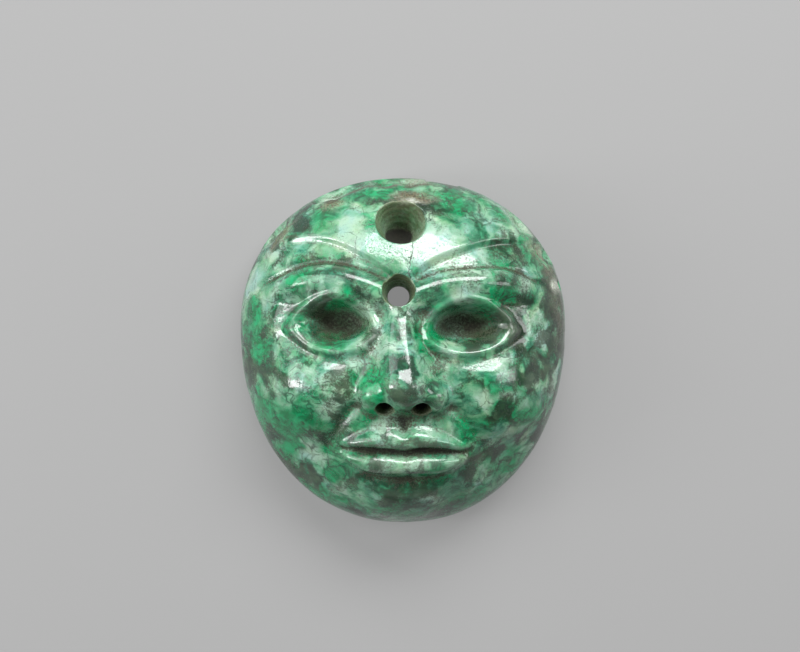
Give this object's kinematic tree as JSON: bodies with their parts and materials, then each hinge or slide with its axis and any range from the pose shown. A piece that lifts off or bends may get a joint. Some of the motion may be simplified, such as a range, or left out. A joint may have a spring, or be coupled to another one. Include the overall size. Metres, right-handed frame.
{
  "type": "jade mask ornament",
  "caption": "Domed carved jade mask ornament: calm face in relief, hollowed back with a flat rim, drilled forehead pit and cord hole between the brows.",
  "frame": {"origin": "middle of the outline on the plane of the flat back rim, on which the mask lies", "axes": "+Z out of the face, +Y towards the crown, +X to the right of someone looking at the face"},
  "size_m": [0.0586, 0.062, 0.0289],
  "materials": {
    "jade": "polished"
  },
  "bodies": {
    "root": {"jade_mask": "jade"}
  },
  "joints": []
}
